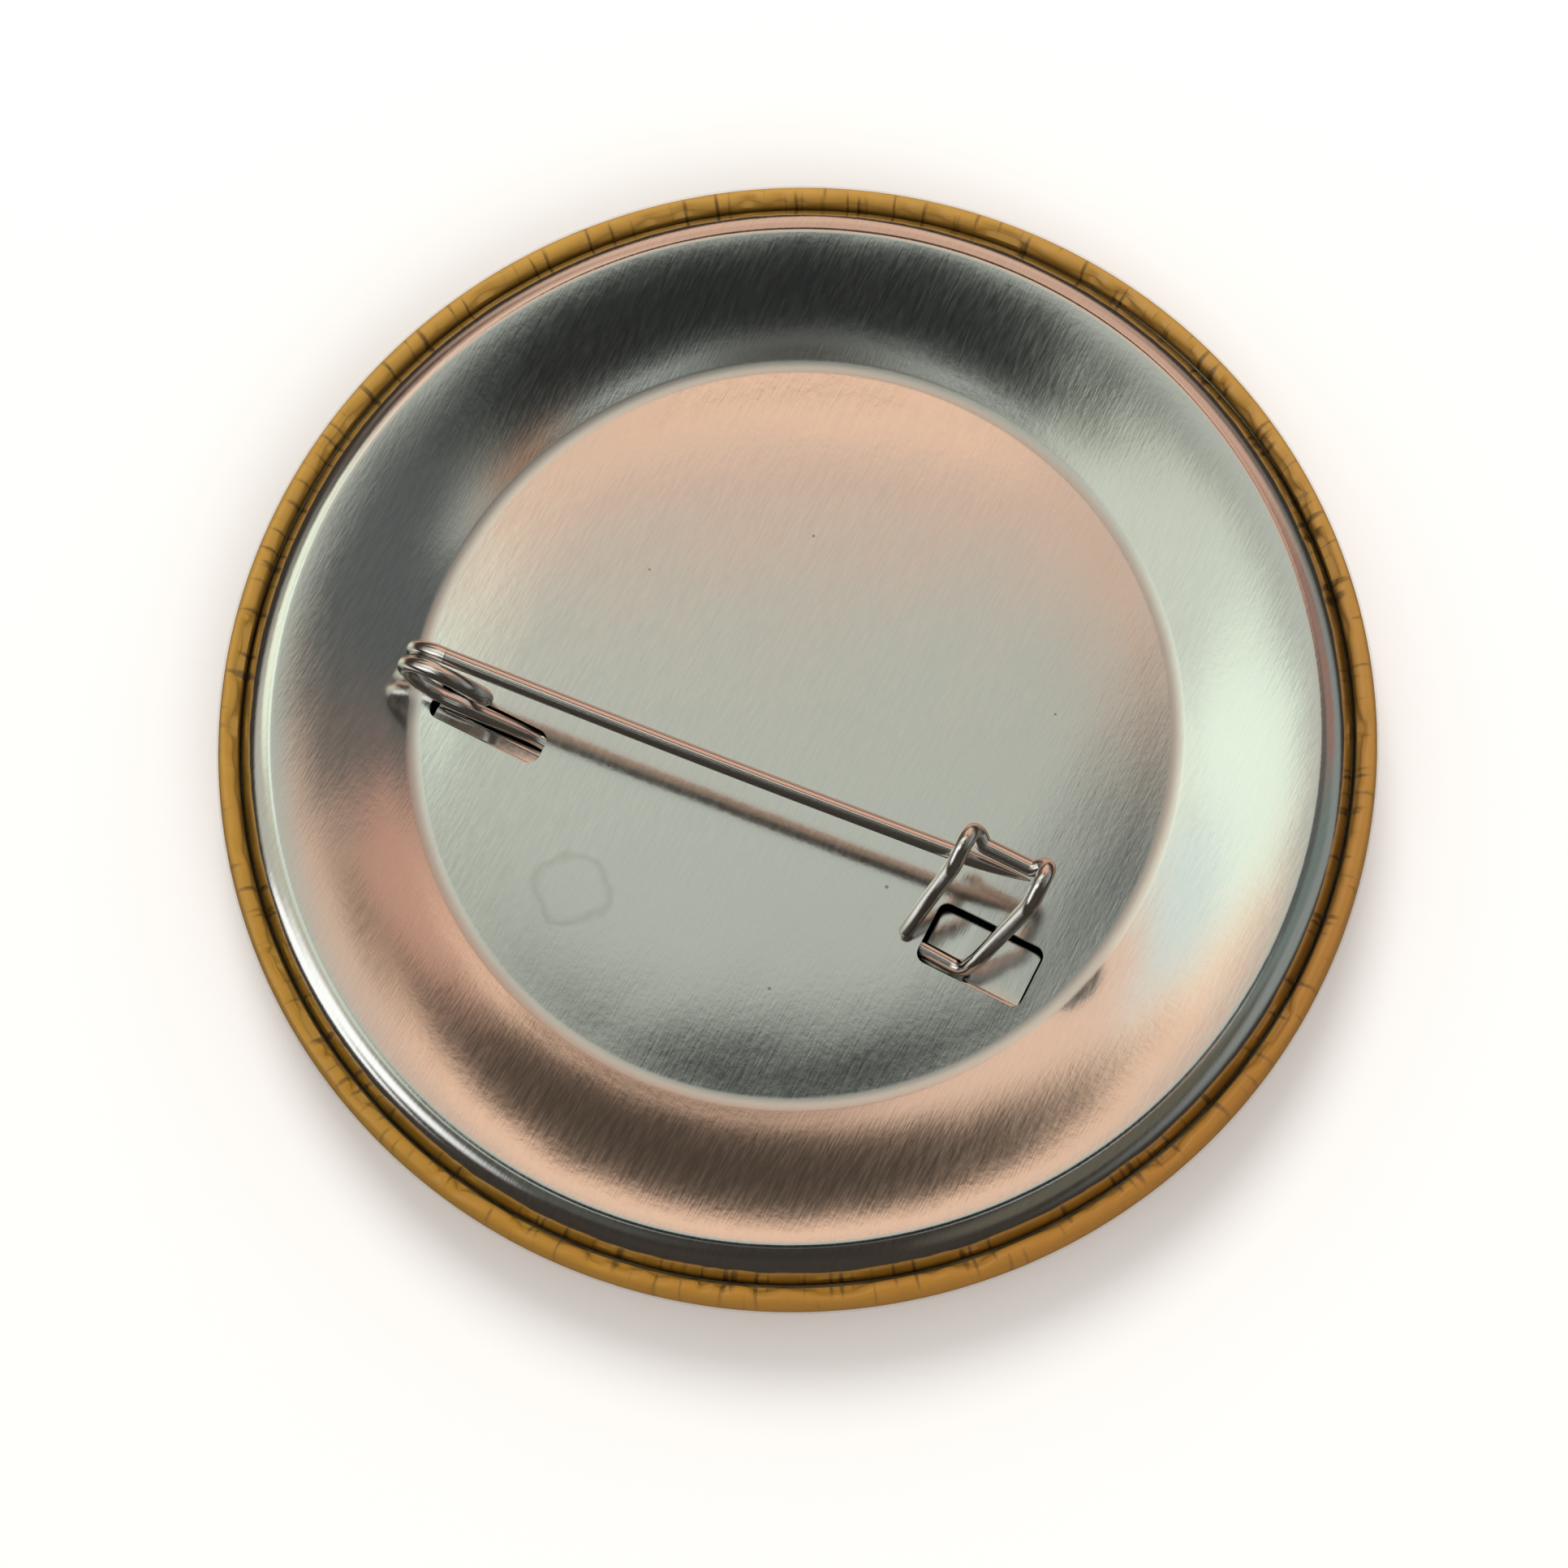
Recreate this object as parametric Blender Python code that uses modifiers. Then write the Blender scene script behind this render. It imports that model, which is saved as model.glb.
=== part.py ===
"""A 58 mm pin-back button badge, lying face-down with its pin on top.

The origin is the lowest point of the domed front, and +Z points away from the front, towards the
wearer. +X runs along the pin's wire, from its coil to its catch. Lengths below are millimetres.

From the outside in, the badge is a clear film, a paper print, a stamped tinplate shell with a
curled rim, and a tinplate back plate clamped inside the curl. A spring wire runs under the back
plate between two windows. At one end it is wound into a coil that carries the pin, and at the
other end it is bent up into a hooked catch.
"""

import math

import bmesh
import bpy
from mathutils import Matrix, Vector

MM = 0.001
SEGMENTS = 48
MERGE = 0.000001

# Layers of the front, each wrapped round the next, from the outside in.
BADGE_RADIUS = 29.0
FILM_THICKNESS = 0.08
PRINT_OFFSET = 0.11
PRINT_THICKNESS = 0.08
SHELL_OFFSET = 0.22
SHELL_THICKNESS = 0.20

# The front's outer profile: a flat middle, a shallow dome, a shoulder, a leaning wall and a roll.
FLAT_RADIUS = 8.0
DOME_EDGE_SLOPE = math.radians(7.0)
WIDEST_HEIGHT = 3.45
WALL_RADIUS = 3.0
WALL_LEAN = math.radians(25.0)
ROLL_RADIUS = 0.52
FILM_TUCK = 1.0
PRINT_TUCK = 0.8
SHELL_TUCK = 0.6

# The back plate: a recessed disc, a convex ring and a skirt.
DISC_HEIGHT = 4.0
PLATE_THICKNESS = 0.25
DISC_FLAT_RADIUS = 18.83
CREASE_RADIUS = 1.85
RING_INNER_SLOPE = math.radians(17.0)
RING_OUTER_SLOPE = math.radians(9.5)
RING_OUTER_RADIUS = 25.6
CREST_FLAT = 0.30
SHOULDER_RADIUS = 1.53
SKIRT_LENGTH = 1.2

# Windows in the disc, as centre and size along X and Y, and the tongues pressed down under them.
WINDOW_LEFT = ((-13.65, -6.89), (6.20, 1.82))
WINDOW_RIGHT = ((13.48, -6.23), (5.66, 3.28))
WINDOW_CORNER = 0.45
COIL_NOTCH = ((-15.96, -5.80), (1.52, 0.80))
COIL_NOTCH_CORNER = 0.20
TONGUE_DEPTH = 1.20
TONGUE_THICKNESS = 0.20
TONGUE_SIDE_GAP = 0.15
TONGUE_ROOT_HEIGHT = 0.12

# The spring wire. Heights of its points are above the disc's top face.
WIRE_RADIUS = 0.40
WIRE_SIDES = 2
BEND_STEPS = 5
HIDDEN_WIRE_Z = -0.71
COIL_CENTRE = (-15.95, 2.42)
COIL_RADIUS = 2.10
COIL_FRONT_Y = -5.62
COIL_TURNS = 1.5
COIL_LEAD = 0.42
COIL_CROSSING = 0.48
COIL_STEP = math.radians(15.0)
JOINT_GAP = 0.12
PIN_TIP = (14.3, -2.70, 4.10)
PIN_TAPER_LENGTH = 4.0
PIN_TIP_SHARE = 0.06
PIN_BODY_POINTS = 4

# The wire under the plate and the catch, as corner points with the bend radius of each.
CATCH_ROUTE = (
    ((-15.83, -6.74, 0.32), 0.0),
    ((-14.90, -6.68, 0.32), 3.0),
    ((-11.40, -6.30, HIDDEN_WIRE_Z), 3.0),
    ((13.05, -7.22, HIDDEN_WIRE_Z), 0.9),
    ((13.60, -6.50, 1.00), 1.2),
    ((14.88, -4.00, 5.25), 1.6),
    ((14.92, -2.70, 6.12), 0.75),
    ((14.82, -1.82, 5.42), 0.45),
    ((14.20, -2.36, 5.08), 0.45),
    ((11.60, -2.36, 5.08), 0.45),
    ((10.98, -1.80, 5.42), 0.45),
    ((10.90, -2.70, 6.12), 0.75),
    ((10.82, -3.95, 5.25), 1.6),
    ((9.75, -6.90, 0.50), 0.0),
)


def empty_scene():
    """Take every object out of the scene."""
    for thing in list(bpy.data.objects):
        bpy.data.objects.remove(thing, do_unlink=True)


def new_collection(name):
    """A collection linked to the scene."""
    group = bpy.data.collections.new(name)
    bpy.context.scene.collection.children.link(group)
    return group


def material(name, colour, roughness, metallic, transmission=0.0):
    """A Principled material."""
    made = bpy.data.materials.new(name)
    made.use_nodes = True
    surface = made.node_tree.nodes["Principled BSDF"]
    surface.inputs["Base Color"].default_value = (*colour, 1.0)
    surface.inputs["Roughness"].default_value = roughness
    surface.inputs["Metallic"].default_value = metallic
    surface.inputs["Transmission Weight"].default_value = transmission
    return made


def smooth(mesh, angle=math.radians(35.0)):
    """Shade a mesh smooth, with its sharp edges kept."""
    mesh.shade_smooth()
    mesh.set_sharp_from_angle(angle=angle)


# ---- profiles ----


def trace(start, heading, moves):
    """Points along straight runs and arcs, in a plane.

    A run is ("line", length), and an arc is ("arc", radius, turn, steps), left for a positive turn.
    """
    points = [Vector(start)]
    for move in moves:
        if move[0] == "line":
            points.append(points[-1] + Vector((math.cos(heading), math.sin(heading))) * move[1])
            continue
        _, radius, turn, steps = move
        side = math.copysign(1.0, turn)
        centre = points[-1] + side * radius * Vector((-math.sin(heading), math.cos(heading)))
        for step in range(1, steps + 1):
            angle = heading + turn * step / steps - side * math.pi / 2
            points.append(centre + radius * Vector((math.cos(angle), math.sin(angle))))
        heading += turn
    return points


def front_profile(offset, tuck):
    """The front's profile, moved inwards by offset, from its middle to its tucked-in end."""
    half = math.tan(DOME_EDGE_SLOPE / 2)
    rise = WIDEST_HEIGHT - (BADGE_RADIUS - FLAT_RADIUS) * half
    shoulder = rise / (math.cos(DOME_EDGE_SLOPE) - (1 - math.sin(DOME_EDGE_SLOPE)) * half)
    dome_run = BADGE_RADIUS - FLAT_RADIUS - shoulder * (1 - math.sin(DOME_EDGE_SLOPE))
    dome = dome_run / math.sin(DOME_EDGE_SLOPE)
    return trace(
        (0.0, offset),
        0.0,
        (
            ("line", FLAT_RADIUS),
            ("arc", dome - offset, DOME_EDGE_SLOPE, 3),
            ("arc", shoulder - offset, math.pi / 2 - DOME_EDGE_SLOPE, 4),
            ("arc", WALL_RADIUS - offset, WALL_LEAN, 2),
            ("arc", ROLL_RADIUS - offset, math.pi - WALL_LEAN, 5),
            ("line", tuck),
        ),
    )


def plate_profile(depth):
    """The back plate's profile, moved down by depth, from its middle to the skirt's end."""
    crease_run = CREASE_RADIUS * math.sin(RING_INNER_SLOPE)
    ring_run = RING_OUTER_RADIUS - DISC_FLAT_RADIUS - crease_run
    ring = ring_run / (math.sin(RING_INNER_SLOPE) - math.sin(RING_OUTER_SLOPE))
    return trace(
        (0.0, DISC_HEIGHT - depth),
        0.0,
        (
            ("line", DISC_FLAT_RADIUS),
            ("arc", CREASE_RADIUS + depth, RING_INNER_SLOPE, 2),
            ("arc", ring - depth, RING_OUTER_SLOPE - RING_INNER_SLOPE, 2),
            ("arc", SHOULDER_RADIUS - depth, -RING_OUTER_SLOPE, 1),
            ("line", CREST_FLAT),
            ("arc", SHOULDER_RADIUS - depth, -math.pi / 2, 4),
            ("line", SKIRT_LENGTH),
        ),
    )


def turned(name, outer, inner, finish, group):
    """A closed solid of revolution between two profiles that start on the axis."""
    loop = outer + inner[::-1]
    mesh = bpy.data.meshes.new(name)
    points = [(point.x * MM, 0.0, point.y * MM) for point in loop]
    edges = [(i, i + 1) for i in range(len(points) - 1)]
    mesh.from_pydata(points, edges, [])
    thing = bpy.data.objects.new(name, mesh)
    group.objects.link(thing)
    screw = thing.modifiers.new("turn", "SCREW")
    screw.angle = 2 * math.pi
    screw.steps = SEGMENTS
    screw.render_steps = SEGMENTS
    screw.use_merge_vertices = True
    screw.merge_threshold = MERGE
    screw.use_normal_calculate = True
    mesh.materials.append(finish)
    return as_mesh(thing, group)


def as_mesh(thing, group):
    """The evaluated object as a welded mesh of the same name, facing out."""
    name = thing.name
    evaluated = thing.evaluated_get(bpy.context.evaluated_depsgraph_get())
    mesh = bpy.data.meshes.new_from_object(evaluated)
    work = bmesh.new()
    work.from_mesh(mesh)
    bmesh.ops.remove_doubles(work, verts=work.verts, dist=MERGE)
    bmesh.ops.recalc_face_normals(work, faces=work.faces)
    work.to_mesh(mesh)
    work.free()
    smooth(mesh)
    place = thing.matrix_world.copy()
    bpy.data.objects.remove(thing, do_unlink=True)
    solid = bpy.data.objects.new(name, mesh)
    solid.matrix_world = place
    group.objects.link(solid)
    return solid


# ---- the front and the back plate ----


def front_layer(name, offset, thickness, tuck, finish, group):
    """One wrapped layer of the front."""
    outer = front_profile(offset, tuck)
    inner = front_profile(offset + thickness, tuck)
    return turned(name, outer, inner, finish, group)


def window_cutter(name, window, group, corner=WINDOW_CORNER):
    """A prism with rounded corners that cuts a window through the disc."""
    (centre_x, centre_y), (size_x, size_y) = window
    height = 4 * PLATE_THICKNESS
    work = bmesh.new()
    bmesh.ops.create_cube(work, size=1.0)
    bmesh.ops.scale(work, vec=(size_x * MM, size_y * MM, height * MM), verts=work.verts)
    upright = [e for e in work.edges if abs(e.verts[0].co.z - e.verts[1].co.z) > height * MM / 2]
    bmesh.ops.bevel(
        work, geom=upright, offset=corner * MM, segments=3, profile=0.5, affect="EDGES"
    )
    mesh = bpy.data.meshes.new(name)
    work.to_mesh(mesh)
    work.free()
    cutter = bpy.data.objects.new(name, mesh)
    cutter.location = Vector((centre_x, centre_y, DISC_HEIGHT - PLATE_THICKNESS / 2)) * MM
    cutter.hide_render = True
    cutter.display_type = "WIRE"
    group.objects.link(cutter)
    return cutter


def tongue(name, window, group):
    """The metal of a window, folded down along its -Y edge and out flat under the wire."""
    (centre_x, centre_y), (size_x, size_y) = window
    low_x = centre_x - size_x / 2 + TONGUE_SIDE_GAP
    high_x = centre_x + size_x / 2 - TONGUE_SIDE_GAP
    fold_y = centre_y - size_y / 2
    free_y = centre_y + size_y / 2 - TONGUE_SIDE_GAP
    section = (
        (fold_y, DISC_HEIGHT - TONGUE_ROOT_HEIGHT),
        (fold_y, DISC_HEIGHT - TONGUE_DEPTH),
        (free_y, DISC_HEIGHT - TONGUE_DEPTH),
    )
    points = [(x * MM, y * MM, z * MM) for x in (low_x, high_x) for y, z in section]
    mesh = bpy.data.meshes.new(name)
    mesh.from_pydata(points, [], [(0, 3, 4, 1), (1, 4, 5, 2)])
    strip = bpy.data.objects.new(name, mesh)
    group.objects.link(strip)
    fold = strip.modifiers.new("sheet", "SOLIDIFY")
    fold.thickness = TONGUE_THICKNESS * MM
    fold.offset = -1.0
    fold.use_even_offset = True
    strip.hide_render = True
    strip.display_type = "WIRE"
    return strip


def combine(thing, tool, operation):
    """An exact Boolean of thing with tool."""
    step = thing.modifiers.new(tool.name, "BOOLEAN")
    step.operation = operation
    step.object = tool
    step.solver = "EXACT"


def back_plate(finish, group, cutters):
    """The back plate with its two windows, their tongues and the notch under the coil."""
    plate = turned("back_plate", plate_profile(0.0), plate_profile(PLATE_THICKNESS), finish, group)
    combine(plate, window_cutter("coil_notch", COIL_NOTCH, cutters, COIL_NOTCH_CORNER), "DIFFERENCE")
    for side, window in (("left", WINDOW_LEFT), ("right", WINDOW_RIGHT)):
        combine(plate, window_cutter(f"window_{side}", window, cutters), "DIFFERENCE")
        combine(plate, tongue(f"tongue_{side}", window, cutters), "UNION")
    return plate


# ---- the spring wire ----


def rounded_route(route):
    """Points along straight runs, with an arc of the given radius at each inner corner."""
    corners = [Vector(point) for point, _ in route]
    points = [corners[0]]
    for i in range(1, len(route) - 1):
        radius = route[i][1]
        back = (corners[i - 1] - corners[i]).normalized()
        ahead = (corners[i + 1] - corners[i]).normalized()
        half = back.angle(ahead) / 2
        centre = corners[i] + (back + ahead).normalized() * radius / math.sin(half)
        first = corners[i] + back * radius / math.tan(half) - centre
        axis = first.cross(corners[i] + ahead * radius / math.tan(half) - centre)
        sweep = math.pi - 2 * half
        for step in range(BEND_STEPS + 1):
            turn = Matrix.Rotation(sweep * step / BEND_STEPS, 3, axis)
            points.append(centre + turn @ first)
    points.append(corners[-1])
    return points


def wire(name, points, finish, group, shares=None):
    """A round wire through points, given as heights above the disc, with closed ends."""
    curve = bpy.data.curves.new(name, "CURVE")
    curve.dimensions = "3D"
    curve.bevel_depth = WIRE_RADIUS * MM
    curve.bevel_resolution = WIRE_SIDES
    curve.render_resolution_u = 0
    curve.use_fill_caps = True
    spline = curve.splines.new("POLY")
    spline.points.add(len(points) - 1)
    for i, point in enumerate(points):
        place = (point + Vector((0.0, 0.0, DISC_HEIGHT))) * MM
        spline.points[i].co = (*place, 1.0)
        spline.points[i].radius = shares[i] if shares else 1.0
    curve.materials.append(finish)
    thing = bpy.data.objects.new(name, curve)
    group.objects.link(thing)
    return as_mesh(thing, group)


def coil_point(turned_angle):
    """A point on the coil's centreline, turned_angle after its top.

    The coil leads steadily to one side, and crosses over by a further step on its way up again.
    """
    centre_x, centre_z = COIL_CENTRE
    turns = turned_angle / (2 * math.pi)
    rising = min(max(2 * turns - 1, 0.0), 1.0)
    crossing = rising * rising * (3 - 2 * rising)
    return Vector(
        (
            centre_x - COIL_RADIUS * math.sin(turned_angle),
            COIL_FRONT_Y - COIL_LEAD * turns - COIL_CROSSING * crossing,
            centre_z + COIL_RADIUS * math.cos(turned_angle),
        )
    )


def pin_coil(finish, group):
    """The coil, from just behind the pin's root down to the wire under the plate."""
    start = (WIRE_RADIUS + JOINT_GAP) / COIL_RADIUS
    end = COIL_TURNS * 2 * math.pi
    steps = round((end - start) / COIL_STEP)
    points = [coil_point(start + (end - start) * step / steps) for step in range(steps + 1)]
    return wire("pin_coil", points, finish, group)


def pin_arm(finish, group):
    """The pin: a half-round root on the coil's top, a straight body and a tapered point."""
    root = coil_point(0.0)
    tip = Vector(PIN_TIP)
    along = (tip - root).normalized()
    points = []
    shares = []
    for angle in (10.0, 30.0, 50.0, 70.0, 90.0):
        points.append(root - along * WIRE_RADIUS * math.cos(math.radians(angle)))
        shares.append(math.sin(math.radians(angle)))
    body = (tip - root).length - PIN_TAPER_LENGTH
    for step in range(1, PIN_BODY_POINTS + 1):
        points.append(root + along * body * step / PIN_BODY_POINTS)
        shares.append(1.0)
    points.append(tip - along * PIN_TAPER_LENGTH / 2)
    shares.append((3 + PIN_TIP_SHARE) / 4)
    points.append(tip)
    shares.append(PIN_TIP_SHARE)
    return wire("pin_arm", points, finish, group, shares)


def catch_wire(finish, group):
    """The wire under the plate, bent up at its far end into the hooked catch."""
    return wire("catch_wire", rounded_route(CATCH_ROUTE), finish, group)


def build():
    """Make every part of the badge."""
    empty_scene()
    badge = new_collection("button_badge")
    cutters = new_collection("cutters")
    film = material("clear_film", (0.9, 0.9, 0.88), 0.12, 0.0, 0.9)
    paper = material("printed_paper", (0.62, 0.35, 0.05), 0.55, 0.0)
    tinplate = material("tinplate", (0.62, 0.62, 0.58), 0.28, 1.0)
    steel = material("nickel_wire", (0.60, 0.58, 0.55), 0.15, 1.0)
    front_layer("clear_film", 0.0, FILM_THICKNESS, FILM_TUCK, film, badge)
    front_layer("artwork_print", PRINT_OFFSET, PRINT_THICKNESS, PRINT_TUCK, paper, badge)
    front_layer("front_shell", SHELL_OFFSET, SHELL_THICKNESS, SHELL_TUCK, tinplate, badge)
    back_plate(tinplate, badge, cutters)
    catch_wire(steel, badge)
    pin_coil(steel, badge)
    pin_arm(steel, badge)


build()
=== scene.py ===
"""Looks of a 58 mm pin-back button badge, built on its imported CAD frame.

The badge lies face-down on a pale floor, with its pin on top. +X runs along the pin from its coil to
its catch, and +Z points away from the floor. Lengths in the constants are millimetres. Heights of
the wire's points are above the back plate's disc.
"""

import math
import random

import bmesh
import bpy
from mathutils import Matrix, Vector


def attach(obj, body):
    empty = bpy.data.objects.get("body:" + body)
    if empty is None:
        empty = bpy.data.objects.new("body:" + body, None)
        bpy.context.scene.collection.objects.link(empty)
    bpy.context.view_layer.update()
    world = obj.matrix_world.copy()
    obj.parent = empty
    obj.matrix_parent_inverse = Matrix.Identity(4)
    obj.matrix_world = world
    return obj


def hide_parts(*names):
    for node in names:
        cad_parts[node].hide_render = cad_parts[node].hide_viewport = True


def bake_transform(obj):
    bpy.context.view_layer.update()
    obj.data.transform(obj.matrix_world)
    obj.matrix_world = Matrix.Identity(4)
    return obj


MM = 0.001

# Layers of the front, and the profile that they share.
BADGE_RADIUS = 29.0
FILM_THICKNESS = 0.08
PRINT_OFFSET = 0.11
PRINT_THICKNESS = 0.08
SHELL_OFFSET = 0.22
SHELL_THICKNESS = 0.18
FLAT_RADIUS = 8.0
DOME_EDGE_SLOPE = math.radians(7.0)
WIDEST_HEIGHT = 3.45
WALL_RADIUS = 3.0
WALL_LEAN = math.radians(25.0)
ROLL_RADIUS = 0.52
FILM_TUCK = 1.0
PRINT_TUCK = 0.8
SHELL_TUCK = 0.6
FRONT_SEGMENTS = 720

# The print's colours: to the picture's left and right, and on its far side, which differ as painted
# light and shade; its mottle; and the painted shade in its creases.
PRINT_LEFT = (188, 136, 20)
PRINT_RIGHT = (180, 116, 26)
PRINT_FAR_PAINTED_LIGHT = (226, 178, 84)
PRINT_MOTTLE = (120, 74, 14)
PRINT_CREASE_SHADE = (74, 40, 10)

# Where the painted shade in the print's creases fades towards the edge, as two radii, and how dark it
# is there.
PRINT_CREASE_BAND = (27.8, 28.9)
PRINT_CREASE_SHARES = (0.85, 0.25)
PRINT_MOTTLE_SHARE = 0.35

# The film's faint tint and how much of it is seen.
FILM_TINT = (0.50, 0.34, 0.12, 1.0)
FILM_ALPHA = 0.08

# Pleats that the wrapping leaves on the rolled rim. They deepen over PLEAT_SPAN of the half turn round
# the roll, after PLEAT_DELAY of that span. Nothing moves within ROLL_CORE of the roll's middle.
PLEAT_COUNT = 150
PLEAT_WIDTH = (0.14, 0.9)
PLEAT_DEPTH = (0.08, 0.38)
PLEAT_SEED = 7
PLEAT_SPAN = 0.55
PLEAT_DELAY = 0.25
ROLL_CORE = 0.01

# The back plate. DISC_RINGS are the runs of its flat middle, outside which the disc drops very slightly
# to DISC_EDGE_SLOPE. A crease leads from there up to the ring, and the ring to its narrow crest.
DISC_HEIGHT = 4.0
PLATE_THICKNESS = 0.25
DISC_FLAT_RADIUS = 18.83
CREASE_RADIUS = 1.85
RING_INNER_SLOPE = math.radians(17.0)
RING_OUTER_SLOPE = math.radians(8.5)
RING_OUTER_RADIUS = 25.78
CREST_RADIUS = 1.0
CREST_SLOPE = math.radians(10.0)
SHOULDER_RADIUS = 1.93
SKIRT_LENGTH = 1.2
PLATE_SEGMENTS = 288
DISC_RINGS = (5.0, 7.0)
DISC_EDGE_SLOPE = math.radians(1.5)

# Windows in the disc, as centre and size along X and Y, and the tongues bent down under them.
WINDOW_LEFT = ((-13.65, -6.89), (6.20, 1.82))
WINDOW_RIGHT = ((13.48, -6.23), (5.66, 3.28))
WINDOW_CORNER = 0.55
COIL_NOTCH = ((-15.96, -5.80), (1.52, 0.80))
COIL_NOTCH_CORNER = 0.20
WINDOW_EDGE = 0.04
TONGUE_DEPTH = 1.20
TONGUE_THICKNESS = 0.20
TONGUE_GAPS_LEFT = (0.36, 0.12)
TONGUE_GAPS_RIGHT = (0.15, 0.15)
TONGUE_SIDE_GAP = 0.15
TONGUE_ROOT_HEIGHT = 0.14
TONGUE_FOLD_RADIUS = 0.40
TONGUE_COLUMNS = 40

# How the tongues bend down along X: the left one on both sides of a ridge, the right one past a line.
LEFT_RIDGE_X = -13.7
LEFT_SAG = 0.02
RIGHT_LINE_X = 12.6
RIGHT_SAG = 0.05

# The left tongue's step: a shelf beside the wire, then a steep run down under it.
SHELF_DROP = 0.05
SHELF_FOLD_RADIUS = 0.15
SHELF_WIDTH = 0.45
STEP_RADIUS = 0.30
STEP_SLOPE = math.radians(60.0)
STEP_LENGTH = 0.55
STEP_REACH = 1.40

# The tinplate's colours: the two of its grain, its stain, its specks, and the painted highlight on its
# crease.
TIN_DARK = (0.64, 0.645, 0.615, 1.0)
TIN_LIGHT = (0.80, 0.80, 0.77, 1.0)
TIN_STAIN = (0.45, 0.44, 0.40, 1.0)
TIN_SPECK = (0.16, 0.14, 0.12, 1.0)
TIN_CREASE_HIGHLIGHT = (0.93, 0.93, 0.90, 1.0)
TIN_ROUGHNESS = (0.10, 0.15)

# Scales of the unevenness of the metals and the print along each axis, in cycles per metre. The wire's
# are along its UVs instead.
GRAIN_SCALES = (8300.0, 900.0, 900.0)
SPECKLE_SCALES = (2600.0, 2600.0, 2600.0)
WAVE_SCALES = (130.0, 90.0, 90.0)
DENT_SCALES = (900.0, 900.0, 900.0)
MOTTLE_SCALES = (500.0, 500.0, 500.0)
PRINT_LINE_SCALES = (2400.0, 350.0, 1.0)
WIRE_LINE_SCALES = (26.0, 220.0, 1.0)

# The dried edge of a spill on the disc: its centre, the radius and softness of its two sides, and how
# far and how often its line wanders.
STAIN_CENTRE = (-5.08, -11.5, DISC_HEIGHT)
STAIN_OUTER = (1.9, 0.20)
STAIN_INNER = (1.55, 0.30)
STAIN_WANDER = 1.8
STAIN_WANDER_SCALE = 450.0
STAIN_SHARE = 0.35

# The crease round the disc, where the metal is stretched: rougher than the rest, and with a painted
# highlight in its colour. It comes in between the first two radii and goes between the last two.
CREASE_BAND = (18.62, 18.85, 19.25, 19.50)
CREASE_ROUGHNESS = 0.25

# Tiny dark specks on the disc, as X, Y and radius, and how dark they are.
SPECK_SHARE = 0.7
SPECKS = (
    (7.9, -5.3, 0.09),
    (-3.6, 9.2, 0.07),
    (5.1, -12.4, 0.08),
    (11.4, 6.3, 0.06),
    (-10.2, 3.9, 0.06),
)

# The spring wire. Its cut end is narrowed to CUT_SHARE over CUT_LENGTH.
WIRE_RADIUS = 0.41
WIRE_SIDES = 28
BEND_STEPS = 12
CUT_LENGTH = 0.08
CUT_SHARE = 0.82
WIRE_DARK = (0.70, 0.68, 0.66, 1.0)
WIRE_LIGHT = (0.84, 0.82, 0.80, 1.0)
WIRE_ROUGHNESS = (0.08, 0.14)
HIDDEN_WIRE_Z = -0.71
COIL_CENTRE = (-15.95, 2.42)
COIL_RADIUS = 2.10
COIL_FRONT_Y = -5.62
COIL_TURNS = 1.5
COIL_LEAD = 0.42
COIL_CROSSING = 0.48
COIL_POINTS = 96
PIN_TIP = (14.3, -2.70, 4.10)
PIN_TAPER_LENGTH = 4.0
PIN_TIP_SHARE = 0.10
PIN_POINTS = 60
PIN_BOW = 0.10

CATCH_ROUTE = (
    ((-14.90, -6.68, 0.32), 3.0),
    ((-11.40, -6.30, HIDDEN_WIRE_Z), 3.0),
    ((13.05, -7.22, HIDDEN_WIRE_Z), 0.9),
    ((13.60, -6.50, 1.00), 1.2),
    ((14.88, -4.00, 5.25), 1.6),
    ((14.92, -2.70, 6.12), 0.75),
    ((14.82, -1.82, 5.42), 0.45),
    ((14.20, -2.36, 5.08), 0.45),
    ((11.60, -2.36, 5.08), 0.45),
    ((10.94, -1.80, 5.42), 0.45),
    ((10.84, -2.70, 6.12), 0.75),
    ((10.80, -3.95, 5.25), 1.6),
    ((9.75, -6.90, 0.50), 0.0),
)

# The camera, and the directions to the right and up across its picture.
EYE = (22.858, -32.360, 148.673)
UP_HINT = (-0.4602, 0.8878, 0.0)
AIM_SHIFT = (-0.465, -3.0)
LENS = 69.15
SENSOR = 36.0

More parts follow.
